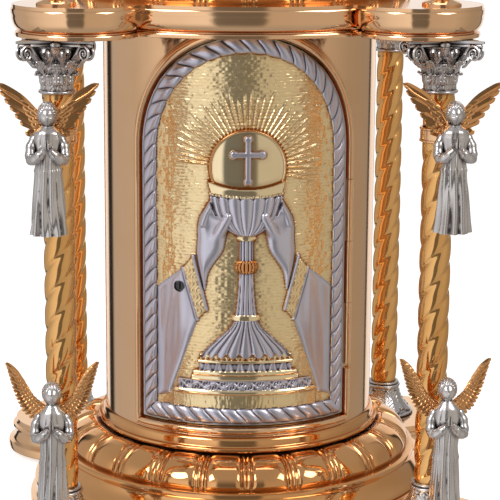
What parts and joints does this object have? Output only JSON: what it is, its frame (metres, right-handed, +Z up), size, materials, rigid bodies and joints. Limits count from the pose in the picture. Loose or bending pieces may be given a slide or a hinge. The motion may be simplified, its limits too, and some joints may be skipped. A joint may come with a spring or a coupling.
{
  "type": "tabernacle monstrance",
  "caption": "Round locked tabernacle with a relief door between twisted columns, under a lobed canopy and dome, with a lift-off sunburst head.",
  "frame": {"origin": "centre of the box at the underside of the feet", "axes": "+Z up; the door faces -Y; +X is to the viewer's right"},
  "size_m": [0.44, 0.44, 0.943],
  "materials": {
    "polished_gold": "polished gold plate",
    "satin_gold": "hammered, brushed gold plate",
    "lining_gold": "satin gold lacquer",
    "silver_relief": "satin silver plate, darkened in the recesses",
    "antique_silver": "antiqued silver plate",
    "steel": "bright turned steel",
    "crystal": "clear polished glass",
    "felt": "felt pads"
  },
  "bodies": {
    "tabernacle": {"base_feet": "felt", "base_bottom": "polished_gold", "base_plinth": "polished_gold", "base_plate": "polished_gold", "foot_skirt": "polished_gold", "gadroon_ring": "polished_gold", "foot_band": "polished_gold", "drum_wall": "polished_gold", "door_frame": "polished_gold", "frame_knuckle": "polished_gold", "corner_finials": "polished_gold", "column_collars": "polished_gold", "upper_wings": "polished_gold", "lower_wings": "polished_gold", "canopy_soffit": "polished_gold", "canopy_rim": "polished_gold", "canopy_roof": "polished_gold", "roof_gadroons": "polished_gold", "dome": "polished_gold", "head_socket": "polished_gold", "column_shaft_front_left": "polished_gold", "column_shaft_front_right": "polished_gold", "column_shaft_rear_left": "polished_gold", "column_shaft_rear_right": "polished_gold", "drum_lining": "lining_gold", "drum_floor": "lining_gold", "drum_ceiling": "lining_gold", "column_bases": "antique_silver", "column_capitals": "antique_silver", "upper_angel_left": "antique_silver", "upper_angel_right": "antique_silver", "lower_angel_left": "antique_silver", "lower_angel_right": "antique_silver", "hinge_pin": "steel", "tie_rods": "steel", "rod_nuts": "steel"},
    "door": {"door_panel": "satin_gold", "door_knuckles": "polished_gold", "door_rope": "silver_relief", "door_field": "satin_gold", "relief_host": "satin_gold", "relief_chalice": "silver_relief", "relief_hands": "silver_relief", "relief_sleeves": "silver_relief", "lock_barrel": "steel", "lock_nut": "steel"},
    "lock": {"lock_plug": "steel", "lock_cam": "steel", "cam_nut": "steel"},
    "head": {"head_stem": "polished_gold", "sunburst": "polished_gold", "luna_frame": "polished_gold", "luna_glass_front": "crystal", "lunette": "polished_gold", "luna_pin": "steel", "head_cross": "polished_gold"},
    "luna_door": {"luna_door_ring": "polished_gold", "luna_glass_rear": "crystal"}
  },
  "joints": [
    {"name": "door_hinge", "type": "hinge", "parent": "tabernacle", "child": "door", "pos_m": [0.09044, -0.08262, 0.23], "axis": [0, 0, 1], "range_deg": [0, 78]},
    {"name": "key_turn", "type": "hinge", "parent": "door", "child": "lock", "pos_m": [-0.05219, -0.10247, 0.226], "axis": [0.4538, 0.8911, 0], "range_deg": [0, 90]},
    {"name": "head_lift", "type": "slide", "parent": "tabernacle", "child": "head", "axis": [0, 0, 1], "range_m": [0, 0.06]},
    {"name": "luna_hinge", "type": "hinge", "parent": "head", "child": "luna_door", "pos_m": [0.055, 0.012, 0.795], "axis": [0, 0, -1], "range_deg": [0, 100]}
  ]
}
